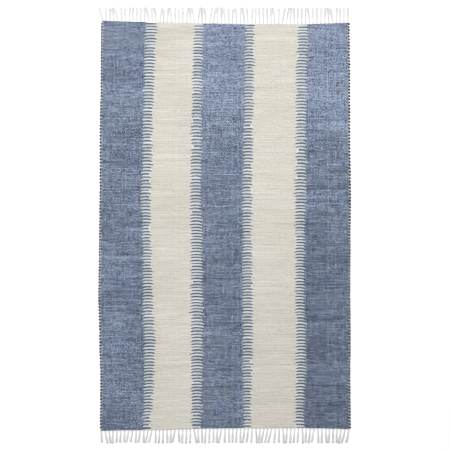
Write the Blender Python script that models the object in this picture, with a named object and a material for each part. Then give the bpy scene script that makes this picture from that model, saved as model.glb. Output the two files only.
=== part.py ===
# Flatweave cotton rag rug with a knotted warp fringe at each end.
#
# Units are metres and +Z is up. The rug lies flat on z = 0 with the origin under its middle.
# X runs across the rug from selvedge to selvedge, and Y along it from the near end to the far end.
# The cloth is one solid: a long panel of five stripes, with a ridge across it for each weft pick,
# selvedges that wander and scallop where the rag strips turn back, and slightly bowed ends.
# Each fringe is one solid: a narrow strip just off the cloth's end, with a row of knots on it
# and a strand of warp ends from each knot, lying level on the floor.

import random
from collections import namedtuple

import bmesh
import bpy

# Reach of the whole rug either side of its middle
HALF_WIDTH = 0.7708
HALF_LENGTH = 1.330

# Cloth
PICKS = 258                   # weft picks from end to end, one ridge each
ROWS_PER_PAIR = 4             # valley, crest, valley, crest for a pick out and a pick back
CREST_HEIGHT = 0.0070
VALLEY_HEIGHT = 0.0056
END_HEIGHT = 0.0045           # thickness at the very first and last pick
FLATTENED = 0.0006            # how much lower the most trodden ridge is
FLATTENED_SEED = 5
LOOP_DEPTH = 0.0040           # notch between two turns of the weft at a selvedge
SHOULDER_INSET = 0.0060       # where the rounding of a selvedge starts, in from its edge

# Fringe
STRANDS = 65                  # knotted bundles at each end
EDGE_GAP = 0.0004             # between the cloth's end and the strip of knots
STRIP_DEPTH = 0.0030
STRIP_HEIGHT = 0.0040
STRIP_INSET = 0.0010          # the strip stops this far inside the cloth's corners
CORNER_MARGIN = 0.0100        # from a corner to the middle of the first knot
ROOT_HALF_WIDTH = 0.0040
TOP_NARROWING = 0.65          # a bundle's top is this much of its width on the floor
UNEVEN_TIPS = 0.008           # the shortest strands stop this far short of the longest
LEAN_REACH = 0.0210           # how far a strand's tip may stray to either side
CORNER_LEAN = 0.020           # the strand at the far left corner points outwards
TIP_ROOM = 0.0125             # least distance between the middles of two neighbours' tips
TIP_REACH = 0.7650            # no tip's middle is further out than this
LEAN_CURVE = 1.3              # above 1, a strand leaves its knot straight and then bends away

GRID_REACH = 0.5              # a new grid reaches this far either side of its middle
FACES_OUT = 0.9               # a face looks out from the strip if its normal does at least this much

# The cloth's outline and beat, read at stations along it: how far each selvedge is in from the
# widest reach, where the middle of each join between two stripes lies, and the spacing of the
# picks against their mean, because the weft isn't beaten down evenly.
Station = namedtuple("Station", "along left_inset join_1 join_2 join_3 join_4 right_inset spacing")
STATIONS = (
    Station(-1.210, 0.0110, -0.4717, -0.1738, 0.1383, 0.4547, 0.0015, 0.985),
    Station(-0.918, 0.0125, -0.4579, -0.1701, 0.1395, 0.4628, 0.0035, 0.980),
    Station(-0.699, 0.0065, -0.4565, -0.1677, 0.1416, 0.4646, 0.0015, 1.015),
    Station(-0.431, 0.0000, -0.4668, -0.1701, 0.1402, 0.4587, 0.0030, 0.960),
    Station(-0.090, 0.0035, -0.4745, -0.1716, 0.1379, 0.4585, 0.0018, 0.955),
    Station(0.178, 0.0078, -0.4784, -0.1755, 0.1379, 0.4613, 0.0000, 1.020),
    Station(0.513, 0.0088, -0.4695, -0.1724, 0.1443, 0.4640, 0.0045, 1.055),
    Station(0.915, 0.0140, -0.4595, -0.1671, 0.1493, 0.4672, 0.0055, 1.000),
    Station(1.214, 0.0165, -0.4451, -0.1591, 0.1547, 0.4772, 0.0075, 0.975),
)

# The cloth's long lines from left to right: where each meets the far and the near end, how
# much of the full thickness it has, and the colour of the stripe to the right of it.
Line = namedtuple("Line", "name far near thickness stripe")
LINES = (
    Line("left_edge", 1.2455, -1.2495, 0.5, "blue"),
    Line("left_shoulder", 1.2455, -1.2495, 1.0, "blue"),
    Line("join_1", 1.2355, -1.2450, 1.0, "cream"),
    Line("join_2", 1.2290, -1.2370, 1.0, "blue"),
    Line("join_3", 1.2245, -1.2340, 1.0, "cream"),
    Line("join_4", 1.2220, -1.2320, 1.0, "blue"),
    Line("right_shoulder", 1.2340, -1.2400, 1.0, "blue"),
    Line("right_edge", 1.2340, -1.2400, 0.5, "blue"),
)

# Sections along a fringe strand: distance out of the strip for the knot and its neck,
# and after them a share of the strand's whole length.
KnotSection = namedtuple("KnotSection", "distance half_width height")
KNOT_SECTIONS = (
    KnotSection(0.0035, 0.0062, 0.0066),
    KnotSection(0.0110, 0.0060, 0.0064),
    KnotSection(0.0150, 0.0034, 0.0040),
)
StrandSection = namedtuple("StrandSection", "share half_width height")
STRAND_SECTIONS = (
    StrandSection(0.55, 0.0043, 0.0044),
    StrandSection(1.00, 0.0050, 0.0030),
)

# The higher the straightness, the more strands hang straight and the fewer lean far. The leans
# of the first strand and of the last few are as in the photo.
Fringe = namedtuple("Fringe", "name side common_lean straightness first_lean last_leans seed")
FRINGES = (
    Fringe("fringe_far", 1, -0.001, 1.6, -CORNER_LEAN, (0.003,), 12),
    Fringe("fringe_near", -1, -0.003, 1.0, 0.003, (-0.004, -0.015, -0.022, -0.014), 23),
)

Finish = namedtuple("Finish", "name colour roughness")
BLUE_RAG = Finish("blue_rag_cotton", (0.190, 0.235, 0.322, 1.0), 0.92)
CREAM_RAG = Finish("cream_rag_cotton", (0.680, 0.655, 0.590, 1.0), 0.92)
WHITE_WARP = Finish("white_warp_cotton", (0.830, 0.825, 0.790, 1.0), 0.88)


def clear_scene():
    for obj in list(bpy.data.objects):
        bpy.data.objects.remove(obj, do_unlink=True)


def make_material(finish):
    material = bpy.data.materials.new(finish.name)
    material.use_nodes = True
    shader = material.node_tree.nodes["Principled BSDF"]
    shader.inputs["Base Color"].default_value = finish.colour
    shader.inputs["Roughness"].default_value = finish.roughness
    shader.inputs["Metallic"].default_value = 0.0
    return material


def outline_value(along, column_name):
    """Read one column of STATIONS at a place along the rug, eased between stations."""
    first, last = STATIONS[0], STATIONS[-1]
    along = min(max(along, first.along), last.along)
    for low, high in zip(STATIONS, STATIONS[1:]):
        if along <= high.along:
            break
    share = (along - low.along) / (high.along - low.along)
    eased = share * share * (3.0 - 2.0 * share)
    start = getattr(low, column_name)
    return start + eased * (getattr(high, column_name) - start)


def loop_notch(row, line):
    """How far a row lies in from the turns of the weft, which alternate between the selvedges."""
    turn_row = ROWS_PER_PAIR // 2 if line.name.startswith("right") else 0
    steps = (row - turn_row) % ROWS_PER_PAIR
    steps_from_turn = min(steps, ROWS_PER_PAIR - steps)
    return LOOP_DEPTH * (2.0 * steps_from_turn / ROWS_PER_PAIR) ** 2


def across_at(line, along, notch):
    """X of one of the cloth's long lines at a place along it."""
    if line.name.startswith("join"):
        return outline_value(along, line.name)
    side_name, place = line.name.split("_")
    inset = outline_value(along, f"{side_name}_inset") + notch
    if place == "shoulder":
        inset += SHOULDER_INSET
    return inset - HALF_WIDTH if side_name == "left" else HALF_WIDTH - inset


def end_points(side):
    """The corners and joins along one end of the cloth, from left to right."""
    points = []
    for line in LINES:
        along = line.far if side > 0 else line.near
        points.append((across_at(line, along, loop_notch(0, line)), along))
    return points


def end_line(across, points):
    """Y of the cloth's end at a place across it, on the straight runs between its points."""
    for low, high in zip(points, points[1:]):
        if across <= high[0]:
            break
    share = (across - low[0]) / (high[0] - low[0])
    return low[1] + share * (high[1] - low[1])


def row_shares():
    """Place of each row between the near end, 0, and the far end, 1."""
    rows = 2 * PICKS
    shares = [0.0]
    for row in range(rows):
        along = HALF_LENGTH * (2.0 * row / rows - 1.0)
        shares.append(shares[-1] + outline_value(along, "spacing"))
    return [share / shares[-1] for share in shares]


def row_heights():
    """Height of the cloth at each row: a valley, then a crest, and so on to the far end."""
    rng = random.Random(FLATTENED_SEED)
    heights = [VALLEY_HEIGHT] * (2 * PICKS + 1)
    for row in range(1, 2 * PICKS, 2):
        heights[row] = CREST_HEIGHT - rng.uniform(0.0, FLATTENED)
    heights[1] = CREST_HEIGHT
    heights[0] = END_HEIGHT
    heights[-1] = END_HEIGHT
    return heights


def finish_object(name, bm, location, materials, collection, parent):
    """Turn an edited mesh into a named object with its faces pointing out."""
    bmesh.ops.recalc_face_normals(bm, faces=list(bm.faces))
    mesh = bpy.data.meshes.new(name)
    bm.to_mesh(mesh)
    bm.free()
    for material in materials:
        mesh.materials.append(material)
    obj = bpy.data.objects.new(name, mesh)
    obj.location = location
    obj.parent = parent
    collection.objects.link(obj)
    return obj


def floor_copy(bm):
    """Close an upper sheet into a solid: sides down to the floor and a flat underside."""
    extruded = bmesh.ops.extrude_face_region(bm, geom=list(bm.faces))
    for item in extruded["geom"]:
        if isinstance(item, bmesh.types.BMVert):
            item.co.z = 0.0
    return [item for item in extruded["geom"] if isinstance(item, bmesh.types.BMFace)]


def add_cloth(stripe_materials, collection, parent):
    rows = 2 * PICKS
    strips = len(LINES) - 1
    shares = row_shares()
    heights = row_heights()
    colours = list(stripe_materials)
    bm = bmesh.new()
    bmesh.ops.create_grid(bm, x_segments=strips, y_segments=rows, size=GRID_REACH)
    for face in bm.faces:
        strip = int((face.calc_center_median().x + GRID_REACH) * strips)
        face.material_index = colours.index(LINES[strip].stripe)
    for vert in bm.verts:
        line = LINES[round((vert.co.x + GRID_REACH) * strips)]
        row = round((vert.co.y + GRID_REACH) * rows)
        along = line.near + (line.far - line.near) * shares[row]
        across = across_at(line, along, loop_notch(row, line))
        vert.co = (across, along, heights[row] * line.thickness)
    underside = floor_copy(bm)
    joined = bmesh.ops.dissolve_faces(bm, faces=underside, use_verts=True)["region"]
    bmesh.ops.triangulate(bm, faces=joined, ngon_method="BEAUTY")
    materials = list(stripe_materials.values())
    return finish_object("rug_cloth", bm, (0.0, 0.0, 0.0), materials, collection, parent)


def strand_leans(fringe, roots, rng):
    """Sideways reach of each strand's tip: most hang nearly straight, a few lean, all keep apart."""
    leans = []
    for _ in roots:
        turn = rng.uniform(-1.0, 1.0)
        leans.append(fringe.common_lean + LEAN_REACH * turn * abs(turn) ** fringe.straightness)
    leans[0] = fringe.first_lean
    leans[-len(fringe.last_leans):] = fringe.last_leans
    tips = []
    least = -TIP_REACH
    for number, (root, lean) in enumerate(zip(roots, leans)):
        most = TIP_REACH - TIP_ROOM * (STRANDS - 1 - number)
        tips.append(min(max(root + lean, least), most))
        least = tips[-1] + TIP_ROOM
    return [tip - root for tip, root in zip(tips, roots)]


def strand_sections(length):
    """Distance, half width and height of each section along one strand."""
    sections = [(knot.distance, knot.half_width, knot.height) for knot in KNOT_SECTIONS]
    for part in STRAND_SECTIONS:
        sections.append((part.share * length, part.half_width, part.height))
    return sections


def grow_strand(bm, face, root, side, length, lean):
    """Pull a knot and a strand out of one face of the strip, section by section."""
    across, along = root
    for distance, half_width, height in strand_sections(length):
        face = bmesh.ops.extrude_discrete_faces(bm, faces=[face])["faces"][0]
        old_centre = face.calc_center_median()
        centre = across + lean * (distance / length) ** LEAN_CURVE
        for vert in face.verts:
            is_top = vert.co.z > old_centre.z
            reach = half_width * (TOP_NARROWING if is_top else 1.0)
            sign = -1.0 if vert.co.x < old_centre.x else 1.0
            vert.co = (centre + sign * reach, along + side * distance, height if is_top else 0.0)


def add_fringe(fringe, material, collection, parent):
    side = fringe.side
    rng = random.Random(fringe.seed)
    points = end_points(side)
    left, right = points[0][0], points[-1][0]
    pitch = (right - left - 2.0 * CORNER_MARGIN) / (STRANDS - 1)
    roots = [left + CORNER_MARGIN + pitch * number for number in range(STRANDS)]
    lines = [left + STRIP_INSET]
    for root in roots:
        lines += [root - ROOT_HALF_WIDTH, root + ROOT_HALF_WIDTH]
    lines.append(right - STRIP_INSET)

    cells = len(lines) - 1
    bm = bmesh.new()
    bmesh.ops.create_grid(bm, x_segments=cells, y_segments=1, size=GRID_REACH)
    for vert in bm.verts:
        across = lines[round((vert.co.x + GRID_REACH) * cells)]
        depth = STRIP_DEPTH if vert.co.y > 0.0 else 0.0
        along = end_line(across, points) + side * (EDGE_GAP + depth)
        vert.co = (across, along, STRIP_HEIGHT)
    floor_copy(bm)
    bmesh.ops.recalc_face_normals(bm, faces=list(bm.faces))

    outer_faces = [face for face in bm.faces if face.normal.y * side > FACES_OUT]
    leans = strand_leans(fringe, roots, rng)
    shortfalls = [rng.uniform(0.0, UNEVEN_TIPS) for _ in roots]
    least = min(shortfalls)
    for root, lean, shortfall in zip(roots, leans, shortfalls):
        face = min(outer_faces, key=lambda item: abs(item.calc_center_median().x - root))
        outer_faces.remove(face)
        along = end_line(root, points) + side * (EDGE_GAP + STRIP_DEPTH)
        length = HALF_LENGTH - abs(along) - (shortfall - least)
        grow_strand(bm, face, (root, along), side, length, lean)

    # The object's own origin is on the floor at the middle of the cloth's end
    middle = end_line(0.0, points)
    bmesh.ops.translate(bm, verts=list(bm.verts), vec=(0.0, -middle, 0.0))
    return finish_object(fringe.name, bm, (0.0, middle, 0.0), [material], collection, parent)


def main():
    clear_scene()
    collection = bpy.data.collections.new("flatweave_cotton_rug")
    bpy.context.scene.collection.children.link(collection)
    rug = bpy.data.objects.new("rug", None)
    collection.objects.link(rug)

    blue = make_material(BLUE_RAG)
    cream = make_material(CREAM_RAG)
    white = make_material(WHITE_WARP)
    add_cloth({"blue": blue, "cream": cream}, collection, rug)
    for fringe in FRINGES:
        add_fringe(fringe, white, collection, rug)


main()
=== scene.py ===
import math
import random

import bpy
import numpy as np
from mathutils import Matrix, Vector


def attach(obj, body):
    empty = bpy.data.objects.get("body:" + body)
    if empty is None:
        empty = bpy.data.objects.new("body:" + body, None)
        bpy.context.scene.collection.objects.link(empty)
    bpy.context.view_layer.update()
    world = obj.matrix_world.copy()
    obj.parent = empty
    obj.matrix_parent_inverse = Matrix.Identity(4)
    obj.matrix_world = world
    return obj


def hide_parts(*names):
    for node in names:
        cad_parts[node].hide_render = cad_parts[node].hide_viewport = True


# Flatweave cotton rag rug with a knotted fringe, seen from straight above.
# Metres, +Z up, X across the rug, Y from the near end to the far end.

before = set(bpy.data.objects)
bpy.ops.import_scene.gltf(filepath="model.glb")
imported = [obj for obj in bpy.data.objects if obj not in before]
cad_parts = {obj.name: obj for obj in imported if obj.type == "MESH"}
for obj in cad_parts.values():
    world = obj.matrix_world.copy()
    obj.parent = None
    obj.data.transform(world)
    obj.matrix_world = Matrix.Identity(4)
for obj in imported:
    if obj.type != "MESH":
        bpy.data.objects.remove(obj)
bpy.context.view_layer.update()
print("frame loaded")


# The cloth's layout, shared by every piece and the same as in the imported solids

clothPlan = {
    "halfWidth": 0.7708,      # widest reach of the selvedges
    "halfLength": 1.330,      # reach of the fringe's tips
    "picks": 258,             # rag picks from end to end
    "endInset": 0.0004,       # gap between the cloth's end and the fringe's strip
}
stationColumns = ("along", "leftInset", "join1", "join2", "join3", "join4", "rightInset", "spacing")
stationRows = (
    (-1.210, 0.0110, -0.4717, -0.1738, 0.1383, 0.4547, 0.0015, 0.985),
    (-0.918, 0.0125, -0.4579, -0.1701, 0.1395, 0.4628, 0.0035, 0.980),
    (-0.699, 0.0065, -0.4565, -0.1677, 0.1416, 0.4646, 0.0015, 1.015),
    (-0.431, 0.0000, -0.4668, -0.1701, 0.1402, 0.4587, 0.0030, 0.960),
    (-0.090, 0.0035, -0.4745, -0.1716, 0.1379, 0.4585, 0.0018, 0.955),
    (0.178, 0.0078, -0.4784, -0.1755, 0.1379, 0.4613, 0.0000, 1.020),
    (0.513, 0.0088, -0.4695, -0.1724, 0.1443, 0.4640, 0.0045, 1.055),
    (0.915, 0.0140, -0.4595, -0.1671, 0.1493, 0.4672, 0.0055, 1.000),
    (1.214, 0.0165, -0.4451, -0.1591, 0.1547, 0.4772, 0.0075, 0.975),
)
stations = {name: np.array(column) for name, column in zip(stationColumns, zip(*stationRows))}
endAcross = {                 # left selvedge, the four joins, right selvedge
    "far": (-0.7543, -0.4451, -0.1591, 0.1547, 0.4772, 0.7593),
    "near": (-0.7598, -0.4717, -0.1738, 0.1383, 0.4547, 0.7653),
}
endAlong = {
    "far": (1.2455, 1.2355, 1.2290, 1.2245, 1.2220, 1.2340),
    "near": (-1.2495, -1.2450, -1.2370, -1.2340, -1.2320, -1.2400),
}
toothReach = {                # half the width of each join's teeth, at the stations
    "join1": (0.0235, 0.0305, 0.0345, 0.0315, 0.0255, 0.0305, 0.0285, 0.0310, 0.0345),
    "join2": (0.0290, 0.0340, 0.0360, 0.0345, 0.0350, 0.0330, 0.0305, 0.0295, 0.0280),
    "join3": (0.0230, 0.0290, 0.0300, 0.0330, 0.0280, 0.0300, 0.0280, 0.0280, 0.0275),
    "join4": (0.0275, 0.0285, 0.0270, 0.0280, 0.0285, 0.0330, 0.0300, 0.0320, 0.0320),
}


def smooth(share):
    share = np.clip(share, 0.0, 1.0)
    return share * share * (3.0 - 2.0 * share)


def easedAlong(column, along):
    places = stations["along"]
    along = np.clip(along, places[0], places[-1])
    low = np.clip(np.searchsorted(places, along, side="right") - 1, 0, len(places) - 2)
    share = (along - places[low]) / (places[low + 1] - places[low])
    values = stations[column]
    return values[low] + smooth(share) * (values[low + 1] - values[low])


rowCount = 2 * clothPlan["picks"]     # a valley and a crest for each pick
rowPlaces = clothPlan["halfLength"] * (2.0 * np.arange(rowCount) / rowCount - 1.0)
rowSteps = easedAlong("spacing", rowPlaces)
rowShares = np.concatenate([[0.0], np.cumsum(rowSteps)]) / rowSteps.sum()


def placeAlong(across, row):
    share = np.interp(row, np.arange(rowCount + 1), rowShares)
    near = np.interp(across, endAcross["near"], endAlong["near"])
    far = np.interp(across, endAcross["far"], endAlong["far"])
    return near + (far - near) * share


def placeAcross(line, row):
    along = placeAlong(0.0, row)
    if line == "left":
        return easedAlong("leftInset", along) - clothPlan["halfWidth"]
    if line == "right":
        return clothPlan["halfWidth"] - easedAlong("rightInset", along)
    return easedAlong(line, along)


def reachAt(line, row):
    return np.interp(placeAlong(0.0, row), stations["along"], toothReach[line])


# Meshes: a rag, a warp or a yarn is a closed tube with one section all along

def tubeMesh(name, tubes, outline):
    corners = len(outline)
    points, quads, caps = [], [], []
    values = {key: [] for key in tubes[0]["values"]}
    first = 0
    for tube in tubes:
        centres = tube["centres"]
        count = len(centres)
        tangents = np.gradient(centres, axis=0)
        sideways = np.stack([-tangents[:, 1], tangents[:, 0]], axis=1)
        sideways /= np.linalg.norm(sideways, axis=1)[:, None]
        rings = np.repeat(centres[:, None, :], corners, axis=1)
        rings[:, :, :2] += sideways[:, None, :] * (tube["widths"][:, None] * outline[:, 0])[:, :, None]
        rings[:, :, 2] += tube["heights"][:, None] * outline[:, 1]
        points.append(rings.reshape(-1, 3))
        here = first + np.arange(count * corners).reshape(count, corners)
        after = np.roll(here, -1, axis=1)
        quads.append(np.stack([here[:-1], here[1:], after[1:], after[:-1]], axis=-1).reshape(-1, 4))
        caps += [here[0].tolist(), here[-1][::-1].tolist()]
        for key, column in values.items():
            column.append(np.repeat(tube["values"][key], corners))
        first += count * corners
    mesh = bpy.data.meshes.new(name)
    mesh.from_pydata(np.concatenate(points).tolist(), [], np.concatenate(quads).tolist() + caps)
    for key, column in values.items():
        layer = mesh.attributes.new(key, "FLOAT", "POINT")
        layer.data.foreach_set("value", np.concatenate(column).astype(np.float32))
    mesh.shade_smooth()
    return mesh


def addPiece(name, mesh, material, slotName, node):
    piece = bpy.data.objects.new(name, mesh)
    bpy.context.scene.collection.objects.link(piece)
    mesh.materials.append(material)
    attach(piece, "root")
    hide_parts(node)
    triangles = sum(len(polygon.vertices) - 2 for polygon in mesh.polygons)
    print("piece", name, triangles, "triangles")
    return piece


# Materials

def hexColour(text):
    channels = [int(text[place:place + 2], 16) / 255.0 for place in (0, 2, 4)]
    linear = [value / 12.92 if value <= 0.04045 else ((value + 0.055) / 1.055) ** 2.4
              for value in channels]
    return (*linear, 1.0)


def addNode(tree, kind, settings=None, links=None):
    node = tree.nodes.new(kind)
    for name, value in (settings or {}).items():
        setattr(node, name, value)
    for socket, value in (links or {}).items():
        if isinstance(value, bpy.types.NodeSocket):
            tree.links.new(value, node.inputs[socket])
        else:
            node.inputs[socket].default_value = value
    return node


def newMaterial(name, roughness, sheen):
    material = bpy.data.materials.new(name)
    material.use_nodes = True
    shader = material.node_tree.nodes["Principled BSDF"]
    shader.inputs["Roughness"].default_value = roughness
    shader.inputs["IOR"].default_value = 1.47        # cellulose, the stuff of cotton
    shader.inputs["Specular IOR Level"].default_value = 0.25
    shader.inputs["Sheen Weight"].default_value = sheen
    shader.inputs["Sheen Roughness"].default_value = 0.6
    return material, material.node_tree, shader


# Washed cotton cloth, torn into strips, folded lengthwise and woven in: the eye gets one tone
# for each strip, paler fold crests and darker crease hollows painted as light and shade, small dark
# flecks where the strip shows its unfaded side, and creases that run along the pick.
ragPatterns = {
    "folds": {"length": 0.120, "width": 0.0060, "detail": 1.0, "seed": 3.0},      # creases along the strip, with painted shade in their hollows and painted light on their crests
    "patches": {"length": 0.0066, "width": 0.0056, "detail": 0.0, "seed": 17.0},  # worn and unworn spots
    "warpDipShade": {"length": 0.0062, "width": 0.0450, "detail": 0.0, "seed": 29.0},  # painted shade and light in stripes along the warps, where the rag dips under and rises over them
    "flecks": {"length": 0.0120, "width": 0.0075, "detail": 0.0, "seed": 41.0},   # its dark unfaded side
    "fading": {"length": 0.30, "width": 0.30, "detail": 1.0, "seed": 7.0},        # broad fading from use
}
ragSurface = {
    "twillPitch": 0.0016,     # diagonal rib of the cloth itself, drawn twice as coarse as real
    "twillAngle": 32.0,
    "twillShare": 0.12,       # depth of the rib against that of the creases
    "creaseDepth": 0.0007,
    "creaseStrength": 0.9,
    "fleckEdge": 0.06,        # a fleck comes to its full colour over this much of the noise
    "turnedFrom": 0.45,       # a rag takes on the colour of a turn from here to here
    "turnedTo": 0.85,
    "sheen": 0.12,
}
waveUnit = 0.314              # at scale 1, a wave texture's bands repeat this far apart


def ragCotton(name, looks):
    material, tree, shader = newMaterial(name, looks["roughness"], ragSurface["sheen"])
    place = addNode(tree, "ShaderNodeTexCoord").outputs["Object"]
    values = {}
    for key in ("stripTone", "stripTint", "packed", "turned"):
        values[key] = addNode(tree, "ShaderNodeAttribute", {"attribute_name": key}).outputs["Fac"]
    for key, pattern in ragPatterns.items():
        moved = addNode(tree, "ShaderNodeMapping", None, {
            "Vector": place, "Location": (pattern["seed"],) * 3,
            "Scale": (1.0 / pattern["length"], 1.0 / pattern["width"], 1.0 / pattern["width"])})
        noise = addNode(tree, "ShaderNodeTexNoise", None, {
            "Vector": moved.outputs[0], "Scale": 1.0, "Detail": pattern["detail"], "Roughness": 0.55})
        values[key] = noise.outputs["Fac"]

    # Tone of the strip, pushed up and down by patches, by painted shade and light on the folds and along
    # the warps, and by the broad fading
    tone = values["stripTone"]
    for key in ("patches", "folds", "warpDipShade", "fading"):
        centred = addNode(tree, "ShaderNodeMath", {"operation": "SUBTRACT"}, {0: values[key], 1: 0.5})
        tone = addNode(tree, "ShaderNodeMath", {"operation": "MULTIPLY_ADD"},
                       {0: centred.outputs[0], 1: looks[key], 2: tone}).outputs[0]
    ramp = addNode(tree, "ShaderNodeValToRGB", None, {"Fac": tone})
    tones = ramp.color_ramp
    tones.elements[0].color = hexColour(looks["dark"])
    tones.elements[1].color = hexColour(looks["light"])
    tones.elements.new(0.5).color = hexColour(looks["middle"])

    # Over the tones: a tint for some strips, flecks, and other colours where the rags are packed close
    # or turn back; on the blue rag the turn colour is painted shade over its selvedge loops and teeth tips
    colour = ramp.outputs["Color"]
    fleckFull = looks["fleckStart"] + ragSurface["fleckEdge"]
    overlays = (
        ("stripTint", 0.0, 1.0, looks["tintShare"], looks["tint"]),
        ("flecks", looks["fleckStart"], fleckFull, looks["fleckShare"], looks["fleck"]),
        ("packed", 0.0, 1.0, looks["packedShare"], looks["packed"]),
        ("turned", ragSurface["turnedFrom"], ragSurface["turnedTo"], looks["turnedShare"],
         looks["turned"]),
    )
    for key, low, high, share, overlay in overlays:
        factor = addNode(tree, "ShaderNodeMapRange", None,
                         {0: values[key], 1: low, 2: high, 3: 0.0, 4: share})
        mixed = addNode(tree, "ShaderNodeMix", {"data_type": "RGBA"},
                        {0: factor.outputs[0], 6: colour, 7: hexColour(overlay)})
        colour = mixed.outputs[2]
    tree.links.new(colour, shader.inputs["Base Color"])

    # Creases of the folded strip, and the twill rib of its cloth
    diagonal = addNode(tree, "ShaderNodeMapping", None,
                       {"Vector": place, "Rotation": (0.0, 0.0, math.radians(ragSurface["twillAngle"]))})
    twill = addNode(tree, "ShaderNodeTexWave", None, {
        "Vector": diagonal.outputs[0], "Scale": waveUnit / ragSurface["twillPitch"],
        "Distortion": 0.6, "Detail": 1.0, "Detail Scale": 2.0})
    relief = addNode(tree, "ShaderNodeMath", {"operation": "MULTIPLY_ADD"},
                     {0: twill.outputs["Fac"], 1: ragSurface["twillShare"], 2: values["folds"]})
    bump = addNode(tree, "ShaderNodeBump", None, {
        "Height": relief.outputs[0], "Strength": ragSurface["creaseStrength"],
        "Distance": ragSurface["creaseDepth"]})
    tree.links.new(bump.outputs[0], shader.inputs["Normal"])
    return material


# Plied white cotton, spun and twisted: the eye gets a soft off-white with a fine slanting ply
plySurface = {
    "plyPitch": 0.0032,       # from one groove between plies to the next
    "plyAngle": 52.0,
    "plyShare": 0.25,         # how much the grooves between plies change the tone
    "plyDepth": 0.0004,
    "plyStrength": 0.8,
    "soilSize": 0.05,
    "soilShare": 0.5,
    "sheen": 0.2,
}


def pliedCotton(name, looks):
    material, tree, shader = newMaterial(name, looks["roughness"], plySurface["sheen"])
    place = addNode(tree, "ShaderNodeTexCoord").outputs["Object"]
    tone = addNode(tree, "ShaderNodeAttribute", {"attribute_name": "yarnTone"}).outputs["Fac"]
    slant = addNode(tree, "ShaderNodeMapping", None,
                    {"Vector": place, "Rotation": (0.0, 0.0, math.radians(plySurface["plyAngle"]))})
    ply = addNode(tree, "ShaderNodeTexWave", None, {
        "Vector": slant.outputs[0], "Scale": waveUnit / plySurface["plyPitch"],
        "Distortion": 1.2, "Detail": 1.0, "Detail Scale": 1.5})
    soil = addNode(tree, "ShaderNodeTexNoise", None,
                   {"Vector": place, "Scale": 1.0 / plySurface["soilSize"], "Detail": 2.0})
    soiled = addNode(tree, "ShaderNodeMath", {"operation": "MULTIPLY_ADD"}, {
        0: soil.outputs["Fac"], 1: plySurface["soilShare"], 2: -0.5 * plySurface["soilShare"]})
    mixed = addNode(tree, "ShaderNodeMath", {"operation": "ADD"}, {0: tone, 1: soiled.outputs[0]})
    shaded = addNode(tree, "ShaderNodeMath", {"operation": "MULTIPLY_ADD"},
                     {0: ply.outputs["Fac"], 1: plySurface["plyShare"], 2: mixed.outputs[0]})
    ramp = addNode(tree, "ShaderNodeValToRGB", None, {"Fac": shaded.outputs[0]})
    ramp.color_ramp.elements[0].color = hexColour(looks["dark"])
    ramp.color_ramp.elements[1].color = hexColour(looks["light"])
    tree.links.new(ramp.outputs["Color"], shader.inputs["Base Color"])
    bump = addNode(tree, "ShaderNodeBump", None, {
        "Height": ply.outputs["Fac"], "Strength": plySurface["plyStrength"],
        "Distance": plySurface["plyDepth"]})
    tree.links.new(bump.outputs[0], shader.inputs["Normal"])
    return material


blueRag = ragCotton("washed_blue_rag_cotton", {
    "dark": "232e4b", "middle": "596b88", "light": "98a6c2", "tint": "566a76", "tintShare": 0.32,
    "fleck": "161f38", "fleckStart": 0.62, "fleckShare": 0.8,
    # the turned colour is painted shade: near black on the selvedge loops, part way on the teeth tips
    "packed": "5f676d", "packedShare": 0.5, "turned": "080c1a", "turnedShare": 1.0,
    # the folds and warp amounts set the painted shade and light on the creases and along the warps
    "patches": 2.4, "folds": 1.0, "warpDipShade": 0.8, "fading": 0.6, "roughness": 0.93,
})
creamRag = ragCotton("undyed_cream_rag_cotton", {
    "dark": "b4aea2", "middle": "c8c3b8", "light": "d7d2c9", "tint": "c3c0b3", "tintShare": 0.6,
    "fleck": "a7a294", "fleckStart": 0.66, "fleckShare": 0.4,
    "packed": "ccd1d3", "packedShare": 0.8, "turned": "d6dad9", "turnedShare": 0.3,
    # the folds and warp amounts set the painted shade and light on the creases and along the warps
    "patches": 1.2, "folds": 0.3, "warpDipShade": 0.3, "fading": 0.5, "roughness": 0.93,
})
warpCotton = pliedCotton("white_plied_warp_cotton",
                         {"dark": "aeb0b2", "light": "dbdcda", "roughness": 0.9})
fringeCotton = pliedCotton("white_plied_fringe_cotton",
                           {"dark": "c0c1bf", "light": "e4e4e1", "roughness": 0.9})
print("materials made")


# The weft: each stripe's rag goes out on one pick and back on the next. At a selvedge it turns
# round the last warps, and at a join its turns slip between those of the next stripe, like the
# teeth of two combs.
weftShape = {
    "centreHeight": 0.0035,
    "heightUneven": 0.00018,  # rags lie this much higher or lower
    "halfHeight": 0.0026,
    "thickUneven": 0.035,     # and are this share thicker or thinner
    "packedHeight": 0.0029,   # half height where two stripes share the rows
    "mostHeight": 0.0033,     # so that no rag reaches the floor or past the cloth's thickness
    "packedNarrower": 0.5,    # each takes half a row's width there
    "packedUneven": 1.6,      # and varies this much more in width
    "alongUneven": 0.0003,    # rags wander this far off their row
    "packedCalm": 0.6,        # but by this share less where they are packed
    "squeezeLead": 0.005,     # picks start to close up this far before the other stripe's teeth
    "squeezeRun": 0.014,
    "wave": 0.00084,          # picks rise and fall together this far
    "endRows": 14.0,          # and calm down over these rows towards the cloth's ends
    "ringSpacing": 0.028,     # rings along a pick, and how far each is off its place
    "ringJitter": 0.007,
}
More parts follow.
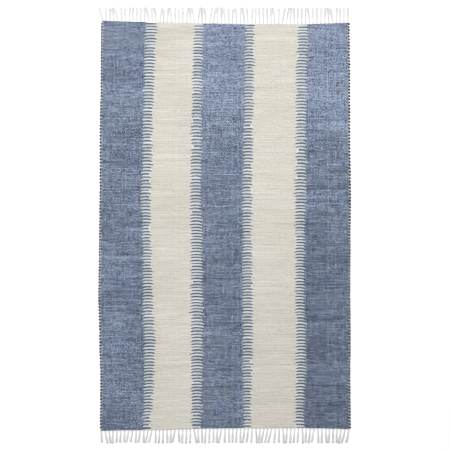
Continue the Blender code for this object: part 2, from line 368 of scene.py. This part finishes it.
# Radians a metre across and along, phase and size of the waves in which picks rise and fall
swayWaves = ((11.0, 5.0, 0.0, 1.0), (23.0, -9.0, 1.3, 0.6))
toothShape = {
    "halfWidth": 0.0023,
    "round": 0.0030,          # depth of its round end
    "width": 0.50,            # of the row, at the turn
    "taper": 0.28,            # it is this much slimmer at its tip
    "arch": 0.0052,           # teeth rise towards the far end in their middle
    "uneven": 0.0048,         # spread of the teeth's reach
    "slide": 0.19,            # spread of their places along the join, in rows
    "sizeSpread": 0.18,
    "shortShare": 0.05,       # one in twenty is cut short
    "shortBy": 0.008,
    "turned": 0.69,           # a tooth counts as turned by this much, and a selvedge loop fully; this sets the blue rag's painted shade there
    "inner": 0.3,             # rings at this share of the teeth's reach to either side
    "outer": (-0.009, -0.002, 0.007),     # and at these distances from the reach of the other teeth
}
loopShape = {                 # the turns at a selvedge
    "halfWidth": 0.0030,      # the rag is narrower where it bends round
    "round": 0.0032,
    "width": 0.70,
    "narrower": 0.30,
    "rows": 0.72,             # its two picks draw together, out of one row each
    "out": 0.0001,            # loops stand out this far past the selvedge's line
    "uneven": 0.0010,
    "run": 0.013,
}
turnSquareness = 0.85         # below 1, a turn is squarer than round
ragOutline = np.array([(-1.0, 0.3), (-0.55, 1.0), (0.55, 1.0), (1.0, 0.3), (0.0, -1.0)])
turnAngles = np.radians((-62.0, -31.0, 0.0, 31.0, 62.0))
stripeLines = ("left", "join1", "join2", "join3", "join4", "right")
selvedges = ("left", "right")
weftRandom = np.random.default_rng(7)
turnPlaces = {}               # outermost place of every tooth and loop, by line, row and side
toothDrift = {}               # how far each has slid along the join, in rows
toothSize = {}                # and its size against the mean


def toothNature(line, row, side):
    key = (line, row, side)
    if key not in toothDrift:
        toothDrift[key] = weftRandom.normal(0.0, toothShape["slide"])
        toothSize[key] = 1.0 + weftRandom.normal(0.0, toothShape["sizeSpread"])
    return toothDrift[key], toothSize[key]


def turnRows(line, row, side):
    # Half the rows that a turn spans
    if line in selvedges:
        return loopShape["rows"] * toothNature(line, row, side)[1]
    return 0.5


def turnReach(line, row, side):
    # Outermost place of the turn at this row; side is 1 for a right-hand turn
    key = (line, row, side)
    if key not in turnPlaces:
        middle = placeAcross(line, row)
        if line in selvedges:
            reach = loopShape["out"] - abs(weftRandom.normal(0.0, loopShape["uneven"]))
        else:
            uneven = weftRandom.normal(0.0, toothShape["uneven"])
            if weftRandom.random() < toothShape["shortShare"]:
                uneven -= toothShape["shortBy"]
            reach = float(reachAt(line, row)) + uneven
        turnPlaces[key] = middle + side * reach
    return turnPlaces[key]


def straightEnd(line, row, side):
    # Where the straight run of a pick stops and its turn begins
    shape = loopShape if line in selvedges else toothShape
    return turnReach(line, row, side) - side * (shape["halfWidth"] + shape["round"])


def squeeze(line, row, across, side):
    # How far a pick has closed up to make room for the other stripe's teeth
    if line in selvedges:
        return np.zeros_like(across)
    start = placeAcross(line, row) - side * (reachAt(line, row) + weftShape["squeezeLead"])
    return smooth(side * (across - start) / weftShape["squeezeRun"])


def swayed(across, row, archShare):
    # Picks wander a little together, and rise in the middle of each join
    along = placeAlong(across, row)
    calm = np.clip(np.minimum(row, rowCount - row) / weftShape["endRows"], 0.0, 1.0)
    wave = sum(size * np.sin(across * wide + along * long + phase)
               for wide, long, phase, size in swayWaves)
    return along + calm * (weftShape["wave"] * wave + toothShape["arch"] * archShare)


def archOf(across, row):
    # 1 at the middle of a join and 0 outside its teeth
    share = np.zeros_like(across)
    for line in stripeLines[1:-1]:
        off = (across - placeAcross(line, row)) / (reachAt(line, row) + weftShape["squeezeLead"])
        share = np.maximum(share, 1.0 - np.clip(np.abs(off), 0.0, 1.0) ** 2)
    return share


def turnsOf(pick):
    # The rows at whose middle a pick turns, on its left and on its right
    return 4 * ((pick + 1) // 2), 4 * (pick // 2) + 2


def pickStations(leftLine, rightLine, pick):
    # X places of the rings along the straight run of one pick
    row = 2 * pick + 1
    leftRow, rightRow = turnsOf(pick)
    start = straightEnd(leftLine, leftRow, -1)
    stop = straightEnd(rightLine, rightRow, 1)
    inner = []
    bounds = [start, stop]
    for number, (line, inward) in enumerate(((leftLine, 1), (rightLine, -1))):
        if line in selvedges:
            continue
        middle = placeAcross(line, row)
        zone = float(reachAt(line, row))
        inner += [middle - toothShape["inner"] * zone, middle + toothShape["inner"] * zone]
        inner += [middle + inward * (zone + off) for off in toothShape["outer"]]
        bounds[number] = inner[-1]
    count = int(round((bounds[1] - bounds[0]) / weftShape["ringSpacing"]))
    spread = np.linspace(bounds[0], bounds[1], count + 1)[1:-1]
    spread = spread + weftRandom.uniform(-weftShape["ringJitter"], weftShape["ringJitter"], len(spread))
    if leftLine == "left":
        inner.append(start + loopShape["run"])
    if rightLine == "right":
        inner.append(stop - loopShape["run"])
    return np.sort(np.concatenate([[start, stop], inner, spread]))


def straightRun(leftLine, rightLine, pick, fullness):
    # Rings along one pick from turn to turn, in the order in which the rag runs
    across = pickStations(leftLine, rightLine, pick)
    row = 2 * pick + 1
    leftRow, rightRow = turnsOf(pick)
    left = squeeze(leftLine, row, across, -1)
    right = squeeze(rightLine, row, across, 1)
    packed = np.maximum(left, right)
    turned = np.zeros_like(across)
    slid = np.zeros_like(across)
    size = np.ones_like(across)
    for line, turnRow, side, share in ((leftLine, leftRow, -1, left), (rightLine, rightRow, 1, right)):
        if line not in selvedges:
            drift, width = toothNature(line, turnRow, side)
            slid = slid + drift * share
            off = side * (across - placeAcross(line, row)) / reachAt(line, row)
            tip = np.clip(0.5 + 0.5 * off, 0.0, 1.0)
            size = size * (1.0 + (width * (1.0 - toothShape["taper"] * tip) - 1.0) * share)
    # turned narrows the rag into a selvedge loop and also sets the blue rag's painted shade there
    if leftLine == "left":
        turned = np.clip(1.0 - (across - across[0]) / loopShape["run"], 0.0, 1.0)
        left = 2.0 * (1.0 - turnRows(leftLine, leftRow, -1)) * turned
    if rightLine == "right":
        turned = np.clip(1.0 - (across[-1] - across) / loopShape["run"], 0.0, 1.0)
        right = 2.0 * (1.0 - turnRows(rightLine, rightRow, 1)) * turned
    rows = row + 0.5 * (leftRow - row) * left + 0.5 * (rightRow - row) * right + slid
    narrower = weftShape["packedNarrower"] * packed + loopShape["narrower"] * turned
    widths = size * fullness * (1.0 - narrower)
    run = (across, rows, widths, packed, turned)
    return tuple(column[::-1] for column in run) if pick % 2 else run


def turnRun(line, turnRow, side):
    # Rings round the turn, as a tooth or a selvedge's loop
    edge = line in selvedges
    shape = loopShape if edge else toothShape
    start = straightEnd(line, turnRow, side)
    halfRows = turnRows(line, turnRow, side)
    outwards = np.abs(np.cos(turnAngles)) ** turnSquareness
    sideways = np.sign(np.sin(turnAngles)) * np.abs(np.sin(turnAngles)) ** turnSquareness
    across = start + side * shape["round"] * outwards
    rows = turnRow + halfRows * sideways
    widths = np.full_like(across, shape["width"])
    packed = np.zeros_like(across)
    # turned is full on a selvedge loop and part way on a tooth; on the blue rag it sets painted shade
    turned = np.ones_like(across)
    if not edge:
        drift, width = toothNature(line, turnRow, side)
        rows = rows + drift
        widths = widths * width * (1.0 - shape["taper"])
        packed = np.ones_like(across)
        turned = np.full_like(across, shape["turned"])
    return across, rows, widths, packed, turned


# Torn strips of odd lengths, sewn end to end. Some are short scraps, and few are much tinted.
stripShape = {"shortest": 0.12, "longest": 1.1, "scrapShares": (0.35, 1.0), "tintRarity": 2.0}


def ragStrips(length, looks):
    # Ends, tones and tints of the strips by distance along the rag
    ends, tones, tints = [0.0], [], []
    while ends[-1] < length:
        strip = weftRandom.uniform(stripShape["shortest"], stripShape["longest"])
        ends.append(ends[-1] + strip * weftRandom.choice(stripShape["scrapShares"]))
        tones.append(weftRandom.normal(0.0, looks["stripSpread"]))
        tints.append(weftRandom.random() ** stripShape["tintRarity"])
    return np.array(ends), np.array(tones), np.array(tints)


def drifting(travelled, run):
    # Smooth unevenness along the rag, with this correlation length
    knots = np.arange(0.0, travelled[-1] + 2.0 * run, run)
    return np.interp(travelled, knots, weftRandom.normal(0.0, 1.0, len(knots)))


def rowAt(across, along):
    # The row that passes through a point
    rows = np.arange(rowCount + 1)
    return float(np.interp(along, placeAlong(across, rows), rows))


def weftTube(leftLine, rightLine, looks):
    # A stripe's whole rag: out on one pick, round the turn and back on the next
    parts = []
    for pick in range(clothPlan["picks"]):
        parts.append(straightRun(leftLine, rightLine, pick, looks["fullness"]))
        if pick == clothPlan["picks"] - 1:
            break
        if pick % 2 == 0:
            parts.append(turnRun(rightLine, 2 * pick + 2, 1))
        else:
            parts.append(turnRun(leftLine, 2 * pick + 2, -1))
    across, rows, widths, packed, turned = (np.concatenate(column) for column in zip(*parts))
    count = len(across)
    along = swayed(across, rows, archOf(across, rows))
    rowAfter = placeAlong(across, np.minimum(rows + 1.0, rowCount))
    rowBefore = placeAlong(across, np.maximum(rows - 1.0, 0.0))
    spread = 1.0 + weftShape["packedUneven"] * packed
    uneven = weftRandom.normal(0.0, looks["unevenWidth"], count) * spread
    halfWidths = 0.5 * (rowAfter - rowBefore) * widths * (1.0 + uneven)
    halfHeights = weftShape["halfHeight"] + (weftShape["packedHeight"] - weftShape["halfHeight"]) * packed
    halfHeights = halfHeights * (1.0 + weftRandom.normal(0.0, weftShape["thickUneven"], count))
    halfHeights = np.minimum(halfHeights, weftShape["mostHeight"])
    lift = weftRandom.uniform(-weftShape["heightUneven"], weftShape["heightUneven"], count)
    heights = weftShape["centreHeight"] + lift
    calm = 1.0 - weftShape["packedCalm"] * packed
    along = along + weftRandom.normal(0.0, weftShape["alongUneven"], count) * calm
    centres = np.stack([across, along, heights], axis=1)
    travelled = np.concatenate([[0.0], np.cumsum(np.linalg.norm(np.diff(centres, axis=0), axis=1))])
    ends, tones, tints = ragStrips(travelled[-1], looks)
    strip = np.clip(np.searchsorted(ends, travelled, side="right") - 1, 0, len(tones) - 1)
    tone = np.interp(rows / rowCount, toneShares, looks["endTones"])
    tone = tone + tones[strip] + looks["driftSpread"] * drifting(travelled, looks["driftRun"])
    middle = float(placeAcross(leftLine, rowCount / 2) + placeAcross(rightLine, rowCount / 2)) / 2.0
    for place, halfRows, change in looks["oddRags"]:
        tone = tone + change * (np.abs(rows - rowAt(middle, place)) < halfRows)
    return {
        "centres": centres, "widths": halfWidths, "heights": halfHeights,
        "values": {"stripTone": tone, "stripTint": tints[strip], "packed": packed, "turned": turned},
    }


# End tones are those near the near end, at the middle and near the far end, at these shares of
# the length. Odd rags are single picks of another dye lot, each with its place along the rug,
# half its rows and its change of tone.
toneShares = (0.1, 0.5, 0.9)
blueLooks = {
    "fullness": 1.04, "unevenWidth": 0.08, "stripSpread": 0.07, "driftSpread": 0.10, "driftRun": 0.050,
}
creamLooks = {
    "fullness": 1.22, "unevenWidth": 0.04, "stripSpread": 0.07, "driftSpread": 0.09, "driftRun": 0.080,
}
stripes = (
    {"name": "weft_left_blue", "slot": "blue_rag_cotton", "material": blueRag,
     "looks": {**blueLooks, "endTones": (0.52, 0.48, 0.55), "oddRags": (
         (1.071, 1.0, -0.20), (0.334, 1.0, -0.16), (-0.434, 1.0, -0.15), (-1.049, 1.0, -0.17),
         (0.261, 1.0, 0.14), (-0.312, 1.0, 0.15))}},
    {"name": "weft_left_cream", "slot": "cream_rag_cotton", "material": creamRag,
     "looks": {**creamLooks, "endTones": (0.60, 0.42, 0.52), "oddRags": ((0.912, 1.0, 0.30),)}},
    {"name": "weft_centre_blue", "slot": "blue_rag_cotton", "material": blueRag,
     "looks": {**blueLooks, "endTones": (0.42, 0.43, 0.73), "oddRags": (
         (0.831, 2.0, -0.17), (0.656, 1.0, -0.14), (-0.327, 1.0, -0.42), (-0.988, 1.0, -0.26),
         (0.553, 1.0, 0.14), (-0.281, 1.0, 0.13))}},
    {"name": "weft_right_cream", "slot": "cream_rag_cotton", "material": creamRag,
     "looks": {**creamLooks, "endTones": (0.46, 0.48, 0.54), "oddRags": ((0.169, 1.0, 0.25),)}},
    {"name": "weft_right_blue", "slot": "blue_rag_cotton", "material": blueRag,
     "looks": {**blueLooks, "endTones": (0.30, 0.38, 0.77), "oddRags": (
         (0.169, 1.0, 0.22), (0.145, 2.0, -0.16), (0.066, 1.0, -0.20), (-0.361, 1.0, -0.45),
         (-0.976, 1.0, -0.60))}},
)
weftPieces = []
for stripe, leftLine, rightLine in zip(stripes, stripeLines, stripeLines[1:]):
    mesh = tubeMesh(stripe["name"], [weftTube(leftLine, rightLine, stripe["looks"])], ragOutline)
    weftPieces.append(addPiece(stripe["name"], mesh, stripe["material"], stripe["slot"], "rug_cloth"))
print("weft woven")


# The warp: white cotton ends that pass over one pick and under the next. Only the floats show.
warpShape = {
    "pitch": 0.00585,         # four ends to a knot
    "wander": 0.012,          # the selvedges' insets, both together, at their mean or so
    "edgeInset": 0.0135,      # the last end at a selvedge, inside the turns of the rag
    "halfWidth": 0.00085,
    "edgeHalfWidth": 0.0016,  # the last end is doubled
    "halfHeight": 0.00045,
    "overHeight": 0.00625,
    "underHeight": 0.0009,
    "coreHeight": 0.0034,
    "floatReach": 0.28,       # half a float's level run, as a share of the pick
    "off": 0.0007,            # spread of the ends' places
    "kink": 0.0002,           # and of their kinks
    "heightUneven": 0.00008,
    "coverMargin": 0.002,     # ends come out this far inside a join's edge
    "coreRings": 12,          # while covered, only one ring in so many is kept
    "sizes": (0.65, 1.35),    # an end's width against the mean
    "swellRows": 11.0,        # its width swells along the rug, with a new value every so many rows
    "swellSpread": 0.35,
    "swells": (0.4, 2.0),
    "tones": (0.25, 0.75),
}
warpOutline = np.array([(-1.0, -1.0), (0.0, 1.0), (1.0, -1.0)])
warpRandom = np.random.default_rng(19)
warpWidth = 2.0 * clothPlan["halfWidth"] - warpShape["wander"] - 2.0 * warpShape["edgeInset"]
warpCount = int(round(warpWidth / warpShape["pitch"])) + 1


def warpTube(number):
    # One end: level over a pick, down under the next
    rows, heights = [], []
    for pick in range(clothPlan["picks"]):
        middle = 2 * pick + 1
        if (pick + number) % 2:
            reach = 2.0 * warpShape["floatReach"]
            rows += [middle - reach, middle + reach]
            heights += [warpShape["overHeight"]] * 2
        else:
            rows.append(middle)
            heights.append(warpShape["underHeight"])
    rows, heights = np.array(rows), np.array(heights)
    left = placeAcross("left", rows) + warpShape["edgeInset"]
    right = placeAcross("right", rows) - warpShape["edgeInset"]
    across = left + (right - left) * number / (warpCount - 1)
    across = across + warpRandom.normal(0.0, warpShape["off"])
    across = across + warpRandom.normal(0.0, warpShape["kink"], len(rows))
    # Inside a join the rags are beaten up so close that they cover the warp
    hidden = np.zeros(len(rows), bool)
    for line in stripeLines[1:-1]:
        covered = reachAt(line, rows) - warpShape["coverMargin"]
        hidden |= np.abs(across - placeAcross(line, rows)) < covered
    heights = heights + warpRandom.normal(0.0, warpShape["heightUneven"], len(rows))
    heights = np.where(hidden, warpShape["coreHeight"], heights)
    kept = ~hidden | (np.arange(len(rows)) % warpShape["coreRings"] == 0)
    kept[:-1] |= ~hidden[1:]
    kept[1:] |= ~hidden[:-1]
    rows, heights, across = rows[kept], heights[kept], across[kept]
    along = swayed(across, rows, archOf(across, rows))
    edge = number in (0, warpCount - 1)
    halfWidth = warpShape["edgeHalfWidth" if edge else "halfWidth"]
    halfWidth = halfWidth * warpRandom.uniform(*warpShape["sizes"])
    count = len(rows)
    places = warpShape["swellRows"] * np.arange(int(rowCount // warpShape["swellRows"]) + 2)
    swells = warpRandom.normal(1.0, warpShape["swellSpread"], len(places))
    swell = np.interp(rows, places, np.clip(swells, *warpShape["swells"]))
    return {
        "centres": np.stack([across, along, heights], axis=1),
        "widths": halfWidth * swell,
        "heights": np.full(count, warpShape["halfHeight"]),
        "values": {"yarnTone": np.full(count, warpRandom.uniform(*warpShape["tones"]))},
    }


thirds = np.array_split(np.arange(warpCount), 3)
for name, numbers in zip(("warp_left", "warp_centre", "warp_right"), thirds):
    mesh = tubeMesh(name, [warpTube(int(number)) for number in numbers], warpOutline)
    addPiece(name, mesh, warpCotton, "white_warp_cotton", "rug_cloth")
print("warp threaded")


# The fringe: the warp ends of each bundle go into an overhand knot and hang on as loose yarns.
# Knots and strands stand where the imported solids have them.
fringeShape = {
    "strands": 65,
    "stripDepth": 0.0030,     # the solids' strip along the cloth's end
    "cornerMargin": 0.0100,   # first and last strand, in from the cloth's corner
    "unevenTips": 0.008,
    "leanReach": 0.0210,      # most that a tip lies to one side of its root
    "tipRoom": 0.0125,        # least from one tip to the next
    "tipReach": 0.7650,       # and no tip lies further out than this
    "leanCurve": 1.3,         # above 1, a strand starts straight and leans on its way
    "knotPlace": 0.0072,      # middle of a knot, out from the strip
    "height": 0.0033,         # middle of a knot, up from the floor
}
rootShape = {                 # the four warp ends that go into a knot
    "offsets": (-0.0088, -0.0029, 0.0029, 0.0088),
    "steps": (-0.0079, -0.0039, 0.0030, 0.0077),      # out from the strip, ring by ring
    "closing": (1.0, 0.9, 0.5, 0.15),
    "heights": (0.0034, 0.0034, 0.0032, 0.0033),
    "heightUneven": 0.0002,
    "radius": 0.0012,
    "tones": (0.2, 0.7),
}
yarnShape = {                 # the loose yarns beyond it
    "yarns": 7,
    "rings": 9,
    "radius": 0.00120,
    "sizes": (0.9, 1.15),
    "cutEnd": 1.25,           # a cut end frays to this much of its width
    "shortBy": 0.0035,        # spread of how far yarns end short of the longest
    "spread": 0.0009,         # from one yarn to the next at the knot
    "spreadMore": 0.0010,     # and this much more further out
    "spreadRate": 1.6,        # all of it from 1 / 1.6 of the way to the tip on
    "wander": 0.0009,
    "wanderRate": 4.0,
    "waves": (0.8, 1.6),      # to and fro between knot and tip
    "lowLayer": 0.0015,       # the lower of the two layers that they lie in
    "layerStep": 0.0016,
    "settleRate": 5.0,
    "ripple": 0.0003,
    "ripples": 2.0,
    "tones": (0.15, 0.8),
}
knotShape = {
    "coreRings": (-0.0042, -0.0032, -0.0012, 0.0012, 0.0032, 0.0042),
    "coreSwell": (0.35, 0.8, 1.0, 1.0, 0.8, 0.4),
    "coreHalfWidth": 0.0042,
    "coreHalfHeight": 0.0026,
    "loopRings": 15,
    "loopAcross": 0.0042,     # reach of the wound loop to either side, along and up
    "loopAlong": 0.0036,
    "loopRise": 0.0013,
    "loopHeight": 0.0036,
    "loopHalfWidth": 0.0018,
    "loopHalfHeight": 0.0016,
    "loopStart": (0.0, 2.0),
    "sizes": (0.92, 1.08),
    "tones": (0.3, 0.8),
    # the knot's core is painted darker by this much, as painted shade under the wound loop
    "corePaintedShade": 0.1,
}
fringeEnds = (
    {
        "name": "far", "side": 1, "commonLean": -0.001, "straightness": 1.6,
        "firstLean": -0.020, "lastLeans": (0.003,), "splay": 1.2, "seed": 12,
    },
    {
        "name": "near", "side": -1, "commonLean": -0.003, "straightness": 1.0,
        "firstLean": 0.003, "lastLeans": (-0.004, -0.015, -0.022, -0.014), "splay": 1.0, "seed": 23,
    },
)
yarnOutline = np.array([(-0.75, -0.8), (-0.75, 0.8), (0.75, 0.8), (0.75, -0.8)])
knotOutline = np.array([(-1.0, 0.0), (-0.5, 0.9), (0.5, 0.9), (1.0, 0.0), (0.5, -0.9), (-0.5, -0.9)])


def fringeStrands(end):
    # Roots, starts, lengths and leans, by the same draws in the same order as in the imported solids
    draws = random.Random(end["seed"])
    leans = []
    for _ in range(fringeShape["strands"]):
        turn = draws.uniform(-1.0, 1.0)
        lean = fringeShape["leanReach"] * turn * abs(turn) ** end["straightness"]
        leans.append(end["commonLean"] + lean)
    leans[0] = end["firstLean"]
    leans[-len(end["lastLeans"]):] = end["lastLeans"]
    shortfalls = [draws.uniform(0.0, fringeShape["unevenTips"]) for _ in leans]
    least = min(shortfalls)
    across = endAcross[end["name"]]
    left, right = across[0], across[-1]
    pitch = (right - left - 2.0 * fringeShape["cornerMargin"]) / (fringeShape["strands"] - 1)
    strands = []
    leastPlace = -fringeShape["tipReach"]
    for number, (lean, shortfall) in enumerate(zip(leans, shortfalls)):
        root = left + fringeShape["cornerMargin"] + pitch * number
        stillToCome = fringeShape["strands"] - 1 - number
        mostPlace = fringeShape["tipReach"] - fringeShape["tipRoom"] * stillToCome
        tip = min(max(root + lean, leastPlace), mostPlace)
        leastPlace = tip + fringeShape["tipRoom"]
        edge = float(np.interp(root, across, endAlong[end["name"]]))
        start = edge + end["side"] * (clothPlan["endInset"] + fringeShape["stripDepth"])
        length = clothPlan["halfLength"] - abs(start) - (shortfall - least)
        strands.append({"root": root, "start": start, "length": length, "lean": tip - root})
    return strands


def leanAt(strand, distance):
    # X place of a strand at this distance from the strip
    share = np.clip(distance / strand["length"], 0.0, None)
    return strand["root"] + strand["lean"] * share ** fringeShape["leanCurve"]


def rootYarns(strand, side, draws):
    # Four warp ends from the cloth's end into the knot
    tubes = []
    for offset in rootShape["offsets"]:
        count = len(rootShape["steps"])
        across = strand["root"] + offset * np.array(rootShape["closing"])
        along = strand["start"] + side * np.array(rootShape["steps"])
        heights = np.array(rootShape["heights"]) + draws.normal(0.0, rootShape["heightUneven"], count)
        tubes.append({
            "centres": np.stack([across, along, heights], axis=1),
            "widths": np.full(count, rootShape["radius"]),
            "heights": np.full(count, rootShape["radius"]),
            "values": {"yarnTone": np.full(count, draws.uniform(*rootShape["tones"]))},
        })
    return tubes


def looseYarns(strand, side, splay, draws):
    # They spread and wander from the knot on, in two layers on the floor
    tubes = []
    slots = draws.permutation(yarnShape["yarns"]) - (yarnShape["yarns"] - 1) / 2.0
    for number, slot in enumerate(slots):
        count = yarnShape["rings"]
        end = strand["length"] - abs(draws.normal(0.0, yarnShape["shortBy"])) * (number > 0)
        distance = np.linspace(fringeShape["knotPlace"], end, count)
        share = (distance - distance[0]) / (distance[-1] - distance[0])
        spread = yarnShape["spreadMore"] * smooth(share * yarnShape["spreadRate"])
        spread = (yarnShape["spread"] + spread) * splay
        waves = share * draws.uniform(*yarnShape["waves"]) + draws.random()
        wander = yarnShape["wander"] * np.sin(2.0 * np.pi * waves)
        wander = wander * smooth(share * yarnShape["wanderRate"])
        across = leanAt(strand, distance) + slot * spread + wander
        layer = yarnShape["lowLayer"] + yarnShape["layerStep"] * (number % 2)
        settled = smooth(share * yarnShape["settleRate"])
        heights = fringeShape["height"] + (layer - fringeShape["height"]) * settled
        ripples = np.sin(2.0 * np.pi * (share * yarnShape["ripples"] + draws.random()))
        heights = heights + yarnShape["ripple"] * ripples
        radius = yarnShape["radius"] * draws.uniform(*yarnShape["sizes"])
        widths = np.full(count, radius)
        widths[-1] *= yarnShape["cutEnd"]
        tubes.append({
            "centres": np.stack([across, strand["start"] + side * distance, heights], axis=1),
            "widths": widths,
            "heights": np.full(count, radius),
            "values": {"yarnTone": np.full(count, draws.uniform(*yarnShape["tones"]))},
        })
    return tubes


def knotTubes(strand, side, draws):
    # A fat core, with the bundle wound over it in the loop of an overhand knot
    tone = draws.uniform(*knotShape["tones"])
    size = draws.uniform(*knotShape["sizes"])
    middle = strand["start"] + side * fringeShape["knotPlace"]
    place = float(leanAt(strand, fringeShape["knotPlace"]))
    distance = np.array(knotShape["coreRings"])
    count = len(distance)
    swell = np.array(knotShape["coreSwell"]) * size
    core = {
        "centres": np.stack([
            np.full(count, place),
            middle + side * distance,
            np.full(count, fringeShape["height"]),
        ], axis=1),
        "widths": knotShape["coreHalfWidth"] * swell,
        "heights": knotShape["coreHalfHeight"] * swell,
        # the core's lowered tone is painted shade under the wound loop
        "values": {"yarnTone": np.full(count, tone - knotShape["corePaintedShade"])},
    }
    count = knotShape["loopRings"]
    turn = np.linspace(0.0, 2.0 * np.pi, count) + draws.uniform(*knotShape["loopStart"])
    hand = draws.choice((-1.0, 1.0))
    # A trefoil, laid nearly flat
    loopAcross = (np.sin(turn) + 2.0 * np.sin(2.0 * turn)) / 3.0
    loopAlong = (np.cos(turn) - 2.0 * np.cos(2.0 * turn)) / 3.0
    loop = {
        "centres": np.stack([
            place + hand * knotShape["loopAcross"] * size * loopAcross,
            middle + side * knotShape["loopAlong"] * size * loopAlong,
            knotShape["loopHeight"] - knotShape["loopRise"] * np.sin(3.0 * turn),
        ], axis=1),
        "widths": np.full(count, knotShape["loopHalfWidth"] * size),
        "heights": np.full(count, knotShape["loopHalfHeight"] * size),
        "values": {"yarnTone": np.full(count, tone)},
    }
    return [core, loop]


for end in fringeEnds:
    draws = np.random.default_rng(end["seed"] + 100)
    knots, yarns = [], []
    for strand in fringeStrands(end):
        yarns += rootYarns(strand, end["side"], draws)
        yarns += looseYarns(strand, end["side"], end["splay"], draws)
        knots += knotTubes(strand, end["side"], draws)
    node = "fringe_" + end["name"]
    for part, tubes, outline in (("_yarns", yarns, yarnOutline), ("_knots", knots, knotOutline)):
        mesh = tubeMesh(node + part, tubes, outline)
        addPiece(node + part, mesh, fringeCotton, "white_warp_cotton", node)
print("fringe knotted")


# Each stripe's width is worked out as at the rug's middle, out to the tips of its teeth.
for piece, leftLine, rightLine in zip(weftPieces, stripeLines, stripeLines[1:]):
    middle = rowCount / 2
    width = float(placeAcross(rightLine, middle) - placeAcross(leftLine, middle))
    width += sum(float(reachAt(line, middle)) for line in (leftLine, rightLine) if line in toothReach)


# Studio: a white floor, a soft light overhead and pale surroundings

studio = {
    "floorSize": 60.0,
    "floorColour": "fafafa",
    "floorGrain": 900.0,      # a fine tooth of paper, about a millimetre
    "floorTooth": 0.0002,
    "worldColour": "f6f7fa",
    "worldStrength": 0.50,
    "lightPlace": (-0.3, 1.5, 5.0),
    "lightAim": (0.0, 0.1, 0.0),
    "lightSize": 3.4,
    "lightPower": 275.0,
}
floorMaterial, floorTree, floorShader = newMaterial("matt_white_paper", 0.95, 0.0)
floorGrain = addNode(floorTree, "ShaderNodeTexNoise", None,
                     {"Scale": studio["floorGrain"], "Detail": 2.0})
floorBump = addNode(floorTree, "ShaderNodeBump", None, {
    "Height": floorGrain.outputs["Fac"], "Strength": 0.1, "Distance": studio["floorTooth"]})
floorTree.links.new(floorBump.outputs[0], floorShader.inputs["Normal"])
floorShader.inputs["Base Color"].default_value = hexColour(studio["floorColour"])
floorMesh = bpy.data.meshes.new("floor")
reach = studio["floorSize"] / 2.0
floorCorners = [(across, along, 0.0) for across, along in
                ((-reach, -reach), (reach, -reach), (reach, reach), (-reach, reach))]
floorMesh.from_pydata(floorCorners, [], [(0, 1, 2, 3)])
floorMesh.materials.append(floorMaterial)
floor = bpy.data.objects.new("floor", floorMesh)
bpy.context.scene.collection.objects.link(floor)

world = bpy.data.worlds.new("studio")
world.use_nodes = True
background = world.node_tree.nodes["Background"]
background.inputs["Color"].default_value = hexColour(studio["worldColour"])
background.inputs["Strength"].default_value = studio["worldStrength"]
bpy.context.scene.world = world


def aimed(obj, place, target):
    direction = Vector(target) - Vector(place)
    obj.location = place
    obj.rotation_euler = direction.to_track_quat("-Z", "Y").to_euler()


lamp = bpy.data.lights.new("overhead_softbox", "AREA")
lamp.shape = "SQUARE"
lamp.size = studio["lightSize"]
lamp.energy = studio["lightPower"]
softbox = bpy.data.objects.new("overhead_softbox", lamp)
bpy.context.scene.collection.objects.link(softbox)
aimed(softbox, studio["lightPlace"], studio["lightAim"])

cameraPlan = {
    "place": (0.0023, 0.0018, 10.0),   # straight above the middle of the picture
    "pictureWidth": 2.7405,            # what the square picture takes in on the floor
    "sensor": 36.0,
}
cameraData = bpy.data.cameras.new("overhead_camera")
cameraData.sensor_width = cameraPlan["sensor"]
cameraData.lens = cameraPlan["sensor"] * cameraPlan["place"][2] / cameraPlan["pictureWidth"]
camera = bpy.data.objects.new("overhead_camera", cameraData)
camera.location = cameraPlan["place"]
bpy.context.scene.collection.objects.link(camera)
bpy.context.scene.camera = camera
bpy.context.scene.view_settings.view_transform = "Standard"
print("studio ready")
